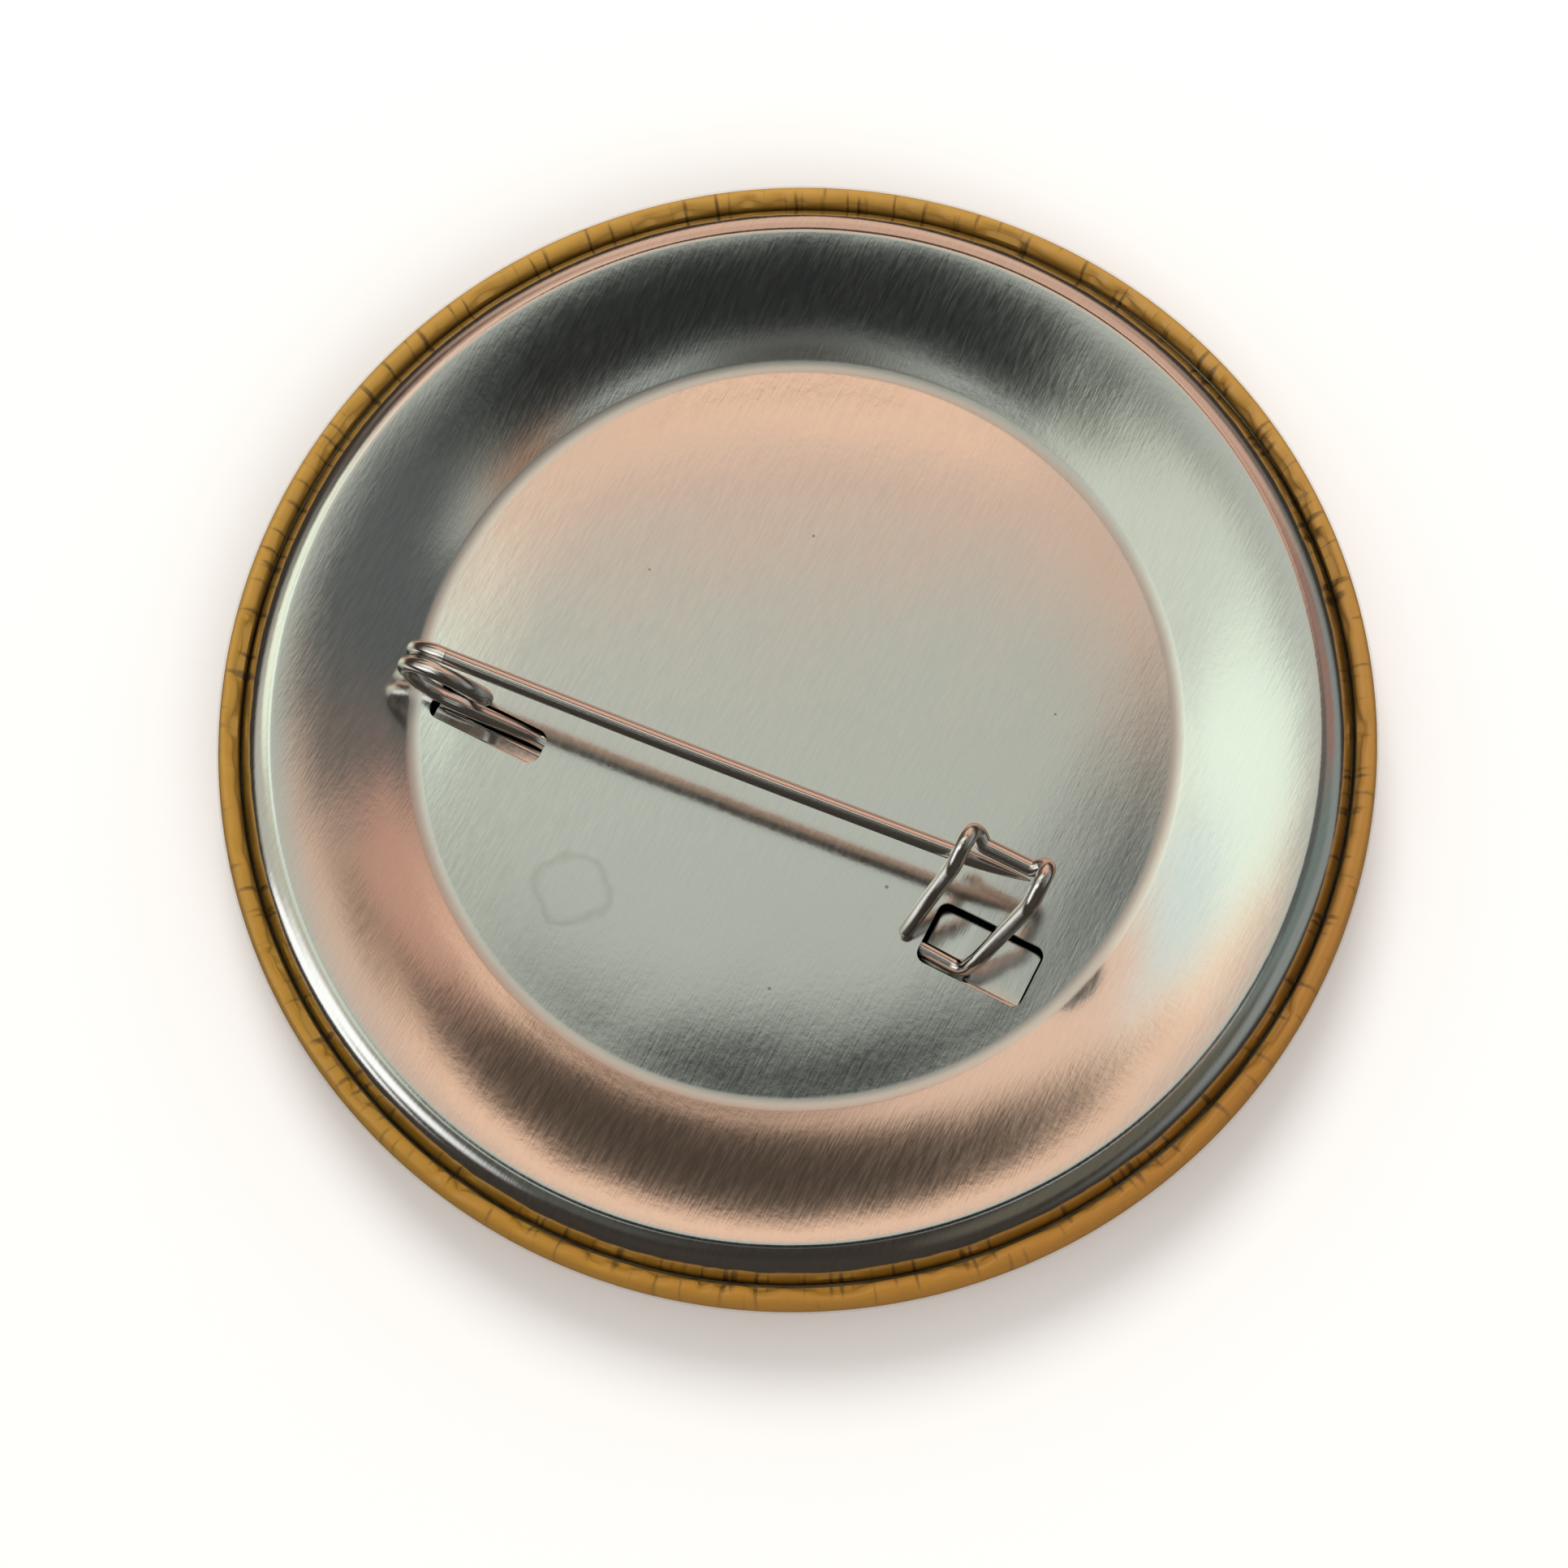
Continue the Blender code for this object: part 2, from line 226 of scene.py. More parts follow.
# What the bright metal reflects: colour, centre, size and softness of patches. Centres and sizes are
# degrees from overhead, to the picture's right and to its top. Later patches lie over earlier ones.
SURROUNDINGS_BASE = (56, 51, 47)
SURROUNDINGS = (
    ((60, 55, 51), (0, -68), (60, 22), 0.30),
    ((128, 132, 130), (68, 0), (24, 60), 0.35),
    ((172, 170, 160), (-62, 8), (18, 40), 0.45),
    ((205, 168, 148), (0, 74), (60, 20), 0.30),
    ((255, 255, 255), (-69, -22), (14, 17), 0.35),
    ((255, 255, 255), (-71, -44), (10, 13), 0.40),
    ((92, 88, 78), (27, -24), (16, 26), 0.35),
    ((76, 76, 72), (-24, -20), (12, 16), 0.40),
    ((106, 116, 112), (40, 4), (24, 14), 0.30),
    ((140, 110, 100), (38, 24), (20, 10), 0.35),
    ((192, 156, 138), (10, 47), (44, 16), 0.30),
    ((178, 176, 162), (-36, 6), (16, 16), 0.40),
    ((232, 236, 214), (-38, 27), (13, 12), 0.35),
    ((220, 184, 163), (-17, 35), (12, 10), 0.30),
    ((255, 255, 255), (-46, -20), (13, 17), 0.45),
    ((204, 210, 204), (-3, 9), (27.5, 22.5), 0.06),
    ((146, 149, 142), (-3, 9), (24.0, 19.0), 0.06),
    ((56, 52, 49), (-2, -15), (13, 6), 0.40),
    ((84, 86, 86), (25, 11), (9, 11), 0.40),
    ((196, 201, 188), (-20, 8), (8, 14), 0.30),
    ((228, 242, 226), (-19, 19), (9, 6.5), 0.30),
    ((204, 216, 212), (-22, 26), (6, 4), 0.40),
    ((246, 203, 174), (4, 28), (20, 13.5), 0.13),
    ((66, 57, 50), (1.5, 30.8), (15, 9.6), 0.22),
    ((84, 72, 64), (10, 24), (6, 4), 0.30),
    ((186, 142, 124), (18, 24), (5, 7), 0.40),
    ((216, 184, 163), (-1, 19.0), (9.0, 5.8), 0.15),
    ((174, 178, 170), (-2, 14.5), (8.6, 8.2), 0.15),
    ((198, 171, 156), (-1.5, 20.6), (9, 2.7), 0.50),
    ((252, 206, 176), (0, 23.7), (11, 1.6), 0.40),
    ((82, 86, 86), (13.5, 9.5), (9, 6.5), 0.30),
    ((98, 92, 88), (16, 16.5), (8, 3), 0.40),
    ((84, 86, 84), (-1, -3.5), (16, 5.5), 0.30),
    ((56, 60, 59), (-1.5, 4.7), (10, 3.2), 0.38),
    ((158, 122, 98), (17.5, -3.5), (5, 3), 0.60),
    ((38, 40, 40), (-1, -0.8), (15.5, 7.0), 0.25),
)
REFLECTION_STRENGTH = 1.40

# The plain light that everything but reflections gets, and the two soft lights: place in metres, size,
# power and colour.
PLAIN_LIGHT = (0.80, 0.79, 0.77, 1.0)
PLAIN_STRENGTH = 0.75
KEY_LIGHT = ((-0.25, 0.35, 0.55), 0.35, 2.2, (1.0, 0.98, 0.95))
FILL_LIGHT = ((0.40, -0.30, 0.50), 0.45, 1.2, (1.0, 0.93, 0.88))

FLOOR_COLOUR = (250, 250, 250)
FLOOR_SIZE = 2.0

# Edges bent more than these stay sharp: by default, on the plate and on the wire. The plate's edges
# bent more than BEVEL_ANGLE are bevelled.
SHARP_ANGLE = math.radians(35.0)
PLATE_SHARP_ANGLE = math.radians(30.0)
WIRE_SHARP_ANGLE = math.radians(50.0)
BEVEL_ANGLE = math.radians(60.0)


def linear(colour):
    """A display colour of 0 to 255 as a linear RGBA colour."""
    return (*((channel / 255) ** 2.2 for channel in colour), 1.0)


# ---- node helpers ----


def node(tree, kind, inputs=None, **settings):
    """A node with its settings, and with its inputs as values or as the outputs that feed them."""
    made = tree.nodes.new(kind)
    for key, value in settings.items():
        setattr(made, key, value)
    for key, value in (inputs or {}).items():
        feed(tree, made.inputs[key], value)
    return made


def feed(tree, socket, value):
    """Link or set one input."""
    if isinstance(value, bpy.types.NodeSocket):
        tree.links.new(value, socket)
    else:
        socket.default_value = value


def calc(tree, operation, *values):
    """The output of a math node."""
    made = tree.nodes.new("ShaderNodeMath")
    made.operation = operation
    for i, value in enumerate(values):
        feed(tree, made.inputs[i], value)
    return made.outputs[0]


def ramp(tree, value, low, high, to_low=0.0, to_high=1.0):
    """A smooth step of value from low to high."""
    made = node(tree, "ShaderNodeMapRange", interpolation_type="SMOOTHSTEP")
    for i, item in enumerate((value, low, high, to_low, to_high)):
        feed(tree, made.inputs[i], item)
    return made.outputs[0]


def mix(tree, factor, first, second):
    """A colour mix."""
    made = node(tree, "ShaderNodeMix", data_type="RGBA")
    feed(tree, made.inputs[0], factor)
    feed(tree, made.inputs[6], first)
    feed(tree, made.inputs[7], second)
    return made.outputs[2]


def dot(tree, vector, direction):
    """The part of a vector along a direction."""
    made = node(tree, "ShaderNodeVectorMath", operation="DOT_PRODUCT")
    feed(tree, made.inputs[0], vector)
    made.inputs[1].default_value = direction
    return made.outputs["Value"]


def noise(tree, vector, scales, detail=2.0, roughness=0.5):
    """Noise with its own scale along each axis, in cycles per metre."""
    stretched = node(tree, "ShaderNodeVectorMath", operation="MULTIPLY")
    feed(tree, stretched.inputs[0], vector)
    stretched.inputs[1].default_value = scales
    made = node(
        tree,
        "ShaderNodeTexNoise",
        {"Vector": stretched.outputs[0], "Scale": 1.0, "Detail": detail, "Roughness": roughness},
    )
    return made.outputs[0]


def axis_distance(tree, vector):
    """How far a place is from the badge's axis."""
    flat = node(tree, "ShaderNodeVectorMath", {0: vector, 1: (1.0, 1.0, 0.0)}, operation="MULTIPLY")
    return node(tree, "ShaderNodeVectorMath", {0: flat.outputs[0]}, operation="LENGTH").outputs["Value"]


def near(tree, vector, centre, radius, softness):
    """1 inside a ball round centre, falling softly to 0 outside it."""
    made = node(tree, "ShaderNodeVectorMath", operation="DISTANCE")
    feed(tree, made.inputs[0], vector)
    made.inputs[1].default_value = [part * MM for part in centre]
    away = made.outputs["Value"]
    return ramp(tree, away, (radius - softness) * MM, (radius + softness) * MM, 1.0, 0.0)


def bumps(tree, *layers):
    """A normal with several height layers, each a height output and its depth in millimetres."""
    normal = None
    for height, depth in layers:
        made = node(tree, "ShaderNodeBump", {"Height": height, "Distance": depth * MM})
        if normal is not None:
            tree.links.new(normal, made.inputs["Normal"])
        normal = made.outputs[0]
    return normal


def finish(name):
    """A new material, its tree, its Principled node and its object coordinates."""
    made = bpy.data.materials.new(name)
    made.use_nodes = True
    tree = made.node_tree
    surface = tree.nodes["Principled BSDF"]
    place = node(tree, "ShaderNodeTexCoord").outputs["Object"]
    return made, tree, surface, place


# ---- materials ----


def tinplate():
    """Bright tinplate with a fine rolled grain along Y, slight waves, a few stains and a painted
    highlight on the crease round the disc.
    """
    made, tree, surface, place = finish("tinplate")
    grain = noise(tree, place, GRAIN_SCALES, 3.0, 0.6)
    speckle = noise(tree, place, SPECKLE_SCALES, 2.0, 0.6)
    waves = noise(tree, place, WAVE_SCALES, 2.0, 0.4)
    tone = mix(tree, grain, TIN_DARK, TIN_LIGHT)
    warp = node(tree, "ShaderNodeTexNoise", {"Vector": place, "Scale": STAIN_WANDER_SCALE})
    inputs = {0: warp.outputs["Color"], 1: (STAIN_WANDER * MM, STAIN_WANDER * MM, 0.0), 2: place}
    moved = node(tree, "ShaderNodeVectorMath", inputs, operation="MULTIPLY_ADD").outputs[0]
    outer = near(tree, moved, STAIN_CENTRE, *STAIN_OUTER)
    inner = near(tree, moved, STAIN_CENTRE, *STAIN_INNER)
    ring = calc(tree, "MULTIPLY", calc(tree, "SUBTRACT", outer, inner), STAIN_SHARE)
    tone = mix(tree, ring, tone, TIN_STAIN)
    for x, y, size in SPECKS:
        spot = near(tree, place, (x, y, DISC_HEIGHT), size, size / 2)
        tone = mix(tree, calc(tree, "MULTIPLY", spot, SPECK_SHARE), tone, TIN_SPECK)
    radius = axis_distance(tree, place)
    # Painted highlight: the crease round the disc is lighter in colour, and also rougher.
    crease = calc(
        tree,
        "MULTIPLY",
        ramp(tree, radius, CREASE_BAND[0] * MM, CREASE_BAND[1] * MM),
        ramp(tree, radius, CREASE_BAND[2] * MM, CREASE_BAND[3] * MM, 1.0, 0.0),
    )
    tone = mix(tree, crease, tone, TIN_CREASE_HIGHLIGHT)
    feed(tree, surface.inputs["Base Color"], tone)
    surface.inputs["Metallic"].default_value = 1.0
    rough = ramp(tree, grain, 0.2, 0.8, *TIN_ROUGHNESS)
    feed(tree, surface.inputs["Roughness"], calc(tree, "MULTIPLY_ADD", crease, CREASE_ROUGHNESS, rough))
    normal = bumps(tree, (waves, 0.05), (speckle, 0.002), (grain, 0.0020))
    feed(tree, surface.inputs["Normal"], normal)
    return made


def nickel():
    """Bright nickel-plated wire with faint drawing lines along it."""
    made, tree, surface, place = finish("nickel_wire")
    along = node(tree, "ShaderNodeUVMap", uv_map="wire").outputs[0]
    lines = noise(tree, along, WIRE_LINE_SCALES, 3.0, 0.6)
    dents = noise(tree, place, DENT_SCALES, 2.0, 0.5)
    tone = mix(tree, lines, WIRE_DARK, WIRE_LIGHT)
    feed(tree, surface.inputs["Base Color"], tone)
    surface.inputs["Metallic"].default_value = 1.0
    feed(tree, surface.inputs["Roughness"], ramp(tree, lines, 0.2, 0.8, *WIRE_ROUGHNESS))
    feed(tree, surface.inputs["Normal"], bumps(tree, (dents, 0.004), (lines, 0.0015)))
    return made


def printed_paper():
    """The mustard print, lighter and darker across it as painted light and shade, with a slight random
    mottle and painted shade in the creases round the rim.
    """
    made, tree, surface, place = finish("printed_paper")
    width = 2 * BADGE_RADIUS * MM
    up_hint = Vector(UP_HINT)
    across = dot(tree, place, (up_hint.y / width, -up_hint.x / width, 0.0))
    up = dot(tree, place, up_hint / width)
    # Painted light and shade: the print is lighter on the picture's far side and browner towards its
    # right.
    tone = mix(tree, ramp(tree, across, -0.5, 0.5), linear(PRINT_LEFT), linear(PRINT_RIGHT))
    tone = mix(tree, ramp(tree, up, -0.4, 0.5, 0.0, 0.6), tone, linear(PRINT_FAR_PAINTED_LIGHT))
    mottle = noise(tree, place, MOTTLE_SCALES, 3.0, 0.6)
    tone = mix(tree, calc(tree, "MULTIPLY", mottle, PRINT_MOTTLE_SHARE), tone, linear(PRINT_MOTTLE))
    x = dot(tree, place, (1.0, 0.0, 0.0))
    y = dot(tree, place, (0.0, 1.0, 0.0))
    radius = axis_distance(tree, place)
    turn = calc(tree, "MULTIPLY", calc(tree, "ARCTAN2", y, x), BADGE_RADIUS * MM)
    rolled_out = node(tree, "ShaderNodeCombineXYZ", {"X": turn, "Y": radius}).outputs[0]
    lines = ramp(tree, noise(tree, rolled_out, PRINT_LINE_SCALES, 1.0), 0.57, 0.69)
    low, high = PRINT_CREASE_BAND
    by_groove = ramp(tree, radius, low * MM, high * MM, *PRINT_CREASE_SHARES)
    # Painted shade: the creases are darkened, most on the groove side of the rim.
    crease = calc(tree, "MULTIPLY", lines, by_groove)
    tone = mix(tree, crease, tone, linear(PRINT_CREASE_SHADE))
    feed(tree, surface.inputs["Base Color"], tone)
    surface.inputs["Roughness"].default_value = 0.45
    surface.inputs["Coat Weight"].default_value = 0.5
    surface.inputs["Coat Roughness"].default_value = 0.10
    feed(tree, surface.inputs["Normal"], bumps(tree, (lines, -0.03), (mottle, 0.02)))
    return made


def clear_film():
    """Clear glossy film, nearly unseen but for its reflections."""
    made, _, surface, _ = finish("clear_film")
    surface.inputs["Base Color"].default_value = FILM_TINT
    surface.inputs["Roughness"].default_value = 0.06
    surface.inputs["Specular IOR Level"].default_value = 0.8
    surface.inputs["Alpha"].default_value = FILM_ALPHA
    return made


def floor_paint():
    """A plain pale floor."""
    made, _, surface, _ = finish("floor")
    surface.inputs["Base Color"].default_value = linear(FLOOR_COLOUR)
    surface.inputs["Roughness"].default_value = 0.9
    surface.inputs["Specular IOR Level"].default_value = 0.1
    return made


# ---- meshes ----


def new_object(name, mesh, material, angle=SHARP_ANGLE):
    """An object for a mesh, shaded smooth with its sharp edges kept."""
    mesh.materials.append(material)
    mesh.shade_smooth()
    mesh.set_sharp_from_angle(angle=angle)
    thing = bpy.data.objects.new(name, mesh)
    bpy.context.scene.collection.objects.link(thing)
    return thing


def face_out(mesh):
    """Turn the faces of a closed mesh outwards."""
    work = bmesh.new()
    work.from_mesh(mesh)
    bmesh.ops.recalc_face_normals(work, faces=work.faces)
    work.to_mesh(mesh)
    work.free()


def trace(start, heading, moves):
    """Points along straight runs and arcs, in a plane.

    A run is ("line", length), and an arc is ("arc", radius, turn, steps), left for a positive turn.
    """
    points = [Vector(start)]
    for move in moves:
        if move[0] == "line":
            points.append(points[-1] + Vector((math.cos(heading), math.sin(heading))) * move[1])
            continue
        _, radius, turn, steps = move
        side = math.copysign(1.0, turn)
        centre = points[-1] + side * radius * Vector((-math.sin(heading), math.cos(heading)))
        for step in range(1, steps + 1):
            angle = heading + turn * step / steps - side * math.pi / 2
            points.append(centre + radius * Vector((math.cos(angle), math.sin(angle))))
        heading += turn
    return points


def front_profile(offset, tuck):
    """The front's profile, moved inwards by offset, from its middle to its tucked-in end."""
    half = math.tan(DOME_EDGE_SLOPE / 2)
    rise = WIDEST_HEIGHT - (BADGE_RADIUS - FLAT_RADIUS) * half
    shoulder = rise / (math.cos(DOME_EDGE_SLOPE) - (1 - math.sin(DOME_EDGE_SLOPE)) * half)
    dome_run = BADGE_RADIUS - FLAT_RADIUS - shoulder * (1 - math.sin(DOME_EDGE_SLOPE))
    dome = dome_run / math.sin(DOME_EDGE_SLOPE)
    return trace(
        (0.0, offset),
        0.0,
        (
            ("line", FLAT_RADIUS),
            ("arc", dome - offset, DOME_EDGE_SLOPE, 10),
            ("arc", shoulder - offset, math.pi / 2 - DOME_EDGE_SLOPE, 16),
            ("arc", WALL_RADIUS - offset, WALL_LEAN, 6),
            ("arc", ROLL_RADIUS - offset, math.pi - WALL_LEAN, 20),
            ("line", tuck / 3),
            ("line", tuck / 3),
            ("line", tuck / 3),
        ),
    )


def plate_profile(depth):
    """The back plate's profile, moved down by depth, from its middle to the skirt's end."""
    edge_radius = (DISC_FLAT_RADIUS - sum(DISC_RINGS)) / math.sin(DISC_EDGE_SLOPE)
    crease_run = CREASE_RADIUS * (math.sin(RING_INNER_SLOPE) + math.sin(DISC_EDGE_SLOPE))
    ring_run = RING_OUTER_RADIUS - DISC_FLAT_RADIUS - crease_run
    ring = ring_run / (math.sin(RING_INNER_SLOPE) - math.sin(RING_OUTER_SLOPE))
    return trace(
        (0.0, DISC_HEIGHT - depth),
        0.0,
        (
            *(("line", run) for run in DISC_RINGS),
            ("arc", edge_radius - depth, -DISC_EDGE_SLOPE, 6),
            ("arc", CREASE_RADIUS + depth, RING_INNER_SLOPE + DISC_EDGE_SLOPE, 8),
            ("arc", ring - depth, RING_OUTER_SLOPE - RING_INNER_SLOPE, 12),
            ("arc", CREST_RADIUS - depth, -RING_OUTER_SLOPE - CREST_SLOPE, 8),
            ("arc", SHOULDER_RADIUS - depth, CREST_SLOPE - math.pi / 2, 24),
            ("line", SKIRT_LENGTH),
        ),
    )


def turned(name, loop, segments, material, shift=None):
    """A closed solid of revolution of a profile that starts and ends on the axis.

    shift gives the change of radius and height of a profile point at an angle.
    """
    points = [(0.0, 0.0, loop[0].y * MM), (0.0, 0.0, loop[-1].y * MM)]
    rings = loop[1:-1]
    for point in rings:
        for i in range(segments):
            angle = 2 * math.pi * i / segments
            radius, height = point
            if shift is not None:
                change = shift(angle, radius, height)
                radius += change[0]
                height += change[1]
            points.append((radius * math.cos(angle) * MM, radius * math.sin(angle) * MM, height * MM))
    faces = []
    last = len(rings) - 1
    for i in range(segments):
        j = (i + 1) % segments
        faces.append((0, 2 + i, 2 + j))
        faces.append((1, 2 + last * segments + i, 2 + last * segments + j))
        for k in range(last):
            low = 2 + k * segments
            high = low + segments
            faces.append((low + i, low + j, high + j, high + i))
    mesh = bpy.data.meshes.new(name)
    mesh.from_pydata(points, [], faces)
    face_out(mesh)
    return new_object(name, mesh, material)


# ---- the front ----


def pleat_table():
    """Seeded pleats round the rim, as angle, half width in radians, and depth."""
    dice = random.Random(PLEAT_SEED)
    pleats = []
    for _ in range(PLEAT_COUNT):
        angle = dice.uniform(0.0, 2 * math.pi)
        width = dice.uniform(*PLEAT_WIDTH) / (BADGE_RADIUS - ROLL_RADIUS)
        depth = PLEAT_DEPTH[0] + (PLEAT_DEPTH[1] - PLEAT_DEPTH[0]) * dice.random() ** 2
        pleats.append((angle, width, depth))
    return pleats


def pleat_shift(pleats):
    """A function that pushes the roll in at each pleat, most of all by the groove."""
    wall_in = (WALL_RADIUS - ROLL_RADIUS) * (1 - math.cos(WALL_LEAN))
    centre_radius = BADGE_RADIUS - ROLL_RADIUS - wall_in
    centre_height = WIDEST_HEIGHT + (WALL_RADIUS - ROLL_RADIUS) * math.sin(WALL_LEAN)
    depths = {}

    def depth_at(angle):
        if angle not in depths:
            total = 0.0
            for middle, width, depth in pleats:
                away = abs((angle - middle + math.pi) % (2 * math.pi) - math.pi) / width
                total += depth * math.exp(-away * away)
            depths[angle] = min(total, PLEAT_DEPTH[1])
        return depths[angle]

    def shift(angle, radius, height):
        across = radius - centre_radius
        up = height - centre_height
        size = math.hypot(across, up)
        if up < 0.0 or size < ROLL_CORE:
            return (0.0, 0.0)
        share = min(max(math.atan2(up, across) / math.pi / PLEAT_SPAN - PLEAT_DELAY, 0.0), 1.0)
        push = depth_at(angle) * share * share * (3 - 2 * share) * size / ROLL_RADIUS
        return (-push * across / size, -push * up / size)

    return shift


def front_layer(name, offset, thickness, tuck, material, shift):
    """One wrapped layer of the front."""
    outer = front_profile(offset, tuck)
    inner = front_profile(offset + thickness, tuck)
    return turned(name, outer + inner[::-1], FRONT_SEGMENTS, material, shift)


# ---- the back plate ----


def window_cutter(name, window, corner=WINDOW_CORNER):
    """A prism with rounded corners that cuts a window through the disc."""
    (centre_x, centre_y), (size_x, size_y) = window
    height = 4 * PLATE_THICKNESS
    work = bmesh.new()
    bmesh.ops.create_cube(work, size=1.0)
    bmesh.ops.scale(work, vec=(size_x * MM, size_y * MM, height * MM), verts=work.verts)
    upright = [e for e in work.edges if abs(e.verts[0].co.z - e.verts[1].co.z) > height * MM / 2]
    bmesh.ops.bevel(work, geom=upright, offset=corner * MM, segments=6, profile=0.5, affect="EDGES")
    mesh = bpy.data.meshes.new(name)
    work.to_mesh(mesh)
    work.free()
    cutter = bpy.data.objects.new(name, mesh)
    cutter.location = Vector((centre_x, centre_y, DISC_HEIGHT - PLATE_THICKNESS / 2)) * MM
    bpy.context.scene.collection.objects.link(cutter)
    return cutter


def right_fold(length):
    """The right tongue's section: a fold, and out flat under the wire."""
    return (
        ("line", TONGUE_DEPTH - TONGUE_ROOT_HEIGHT - TONGUE_FOLD_RADIUS),
        ("arc", TONGUE_FOLD_RADIUS, math.pi / 2, 6),
        ("line", (length - TONGUE_FOLD_RADIUS) / 2),
        ("line", (length - TONGUE_FOLD_RADIUS) / 2),
    )


def left_fold(length):
    """The left tongue's section: a shelf beside the wire, then down and out flat under it."""
    return (
        ("line", SHELF_DROP),
        ("arc", SHELF_FOLD_RADIUS, math.pi / 2, 4),
        ("line", SHELF_WIDTH),
        ("arc", STEP_RADIUS, -STEP_SLOPE, 4),
        ("line", STEP_LENGTH),
        ("arc", STEP_RADIUS, STEP_SLOPE, 4),
        ("line", length - STEP_REACH),
    )


def tongue_mesh(name, window, gaps, drop, fold_moves):
    """A window's own metal, folded down along its -Y edge and out under the wire.

    gaps are the clearances at its -X and +X ends, and drop(x) is how far the tongue is bent down.
    """
    (centre_x, centre_y), (size_x, size_y) = window
    low_x = centre_x - size_x / 2 + gaps[0]
    high_x = centre_x + size_x / 2 - gaps[1]
    fold_y = centre_y - size_y / 2
    moves = fold_moves(size_y - TONGUE_SIDE_GAP)
    section = trace((fold_y, DISC_HEIGHT - TONGUE_ROOT_HEIGHT), -math.pi / 2, moves)
    points = []
    for i in range(TONGUE_COLUMNS + 1):
        x = low_x + (high_x - low_x) * i / TONGUE_COLUMNS
        for j, (y, z) in enumerate(section):
            down = drop(x) if j else 0.0
            points.append((x * MM, y * MM, (z - down) * MM))
    rows = len(section)
    faces = []
    for i in range(TONGUE_COLUMNS):
        for j in range(rows - 1):
            corner = i * rows + j
            faces.append((corner, corner + rows, corner + rows + 1, corner + 1))
    mesh = bpy.data.meshes.new(name)
    mesh.from_pydata(points, [], faces)
    strip = bpy.data.objects.new(name, mesh)
    bpy.context.scene.collection.objects.link(strip)
    fold = strip.modifiers.new("sheet", "SOLIDIFY")
    fold.thickness = TONGUE_THICKNESS * MM
    fold.offset = -1.0
    fold.use_even_offset = True
    return strip


def left_drop(x):
    """The left tongue's bend: two flat parts that meet near its middle."""
    return LEFT_SAG * abs(x - LEFT_RIDGE_X)


def right_drop(x):
    """The right tongue's bend, down towards its -X end."""
    return RIGHT_SAG * max(RIGHT_LINE_X - x, 0.0)


def evaluated(thing):
    """A mesh of the object with its modifiers applied."""
    graph = bpy.context.evaluated_depsgraph_get()
    return bpy.data.meshes.new_from_object(thing.evaluated_get(graph))


def back_plate(material):
    """The back plate with its two windows and their tongues, as one mesh."""
    loop = plate_profile(0.0) + plate_profile(PLATE_THICKNESS)[::-1]
    plate = turned("plate_sheet", loop, PLATE_SEGMENTS, material)
    cutters = [
        window_cutter("coil_notch", COIL_NOTCH, COIL_NOTCH_CORNER),
        window_cutter("window_left", WINDOW_LEFT),
        window_cutter("window_right", WINDOW_RIGHT),
    ]
    for cutter in cutters:
        step = plate.modifiers.new(cutter.name, "BOOLEAN")
        step.operation = "DIFFERENCE"
        step.object = cutter
        step.solver = "EXACT"
    edge = plate.modifiers.new("edge", "BEVEL")
    edge.width = WINDOW_EDGE * MM
    edge.segments = 1
    edge.limit_method = "ANGLE"
    edge.angle_limit = BEVEL_ANGLE
    tongues = [
        tongue_mesh("tongue_left", WINDOW_LEFT, TONGUE_GAPS_LEFT, left_drop, left_fold),
        tongue_mesh("tongue_right", WINDOW_RIGHT, TONGUE_GAPS_RIGHT, right_drop, right_fold),
    ]
    bpy.context.view_layer.update()
    work = bmesh.new()
    for thing in (plate, *tongues):
        part = evaluated(thing)
        work.from_mesh(part)
        bpy.data.meshes.remove(part)
    mesh = bpy.data.meshes.new("back_plate_fine")
    work.to_mesh(mesh)
    work.free()
    for thing in (plate, *tongues, *cutters):
        bpy.data.objects.remove(thing, do_unlink=True)
    return new_object("back_plate_fine", mesh, material, PLATE_SHARP_ANGLE)


# ---- the spring wire ----


def rounded_route(route):
    """Points along straight runs, with an arc of the given radius at each inner corner."""
    corners = [Vector(point) for point, _ in route]
    points = [corners[0]]
    for i in range(1, len(route) - 1):
        radius = route[i][1]
        back = (corners[i - 1] - corners[i]).normalized()
        ahead = (corners[i + 1] - corners[i]).normalized()
        half = back.angle(ahead) / 2
        centre = corners[i] + (back + ahead).normalized() * radius / math.sin(half)
        first = corners[i] + back * radius / math.tan(half) - centre
        axis = first.cross(corners[i] + ahead * radius / math.tan(half) - centre)
        sweep = math.pi - 2 * half
        for step in range(BEND_STEPS + 1):
            turn = Matrix.Rotation(sweep * step / BEND_STEPS, 3, axis)
            points.append(centre + turn @ first)
    points.append(corners[-1])
    return points


def coil_point(turned_angle):
    """A point on the coil's centreline, turned_angle after its top.

    The coil leads steadily to one side, and crosses over by a further step on its way up again.
    """
    centre_x, centre_z = COIL_CENTRE
    turns = turned_angle / (2 * math.pi)
    rising = min(max(2 * turns - 1, 0.0), 1.0)
    crossing = rising * rising * (3 - 2 * rising)
    return Vector(
        (
            centre_x - COIL_RADIUS * math.sin(turned_angle),
            COIL_FRONT_Y - COIL_LEAD * turns - COIL_CROSSING * crossing,
            centre_z + COIL_RADIUS * math.cos(turned_angle),
        )
    )


def tangents(points):
    """Directions along a line of points."""
    found = []
    for i in range(len(points)):
        before = points[max(i - 1, 0)]
        after = points[min(i + 1, len(points) - 1)]
        found.append((after - before).normalized())
    return found


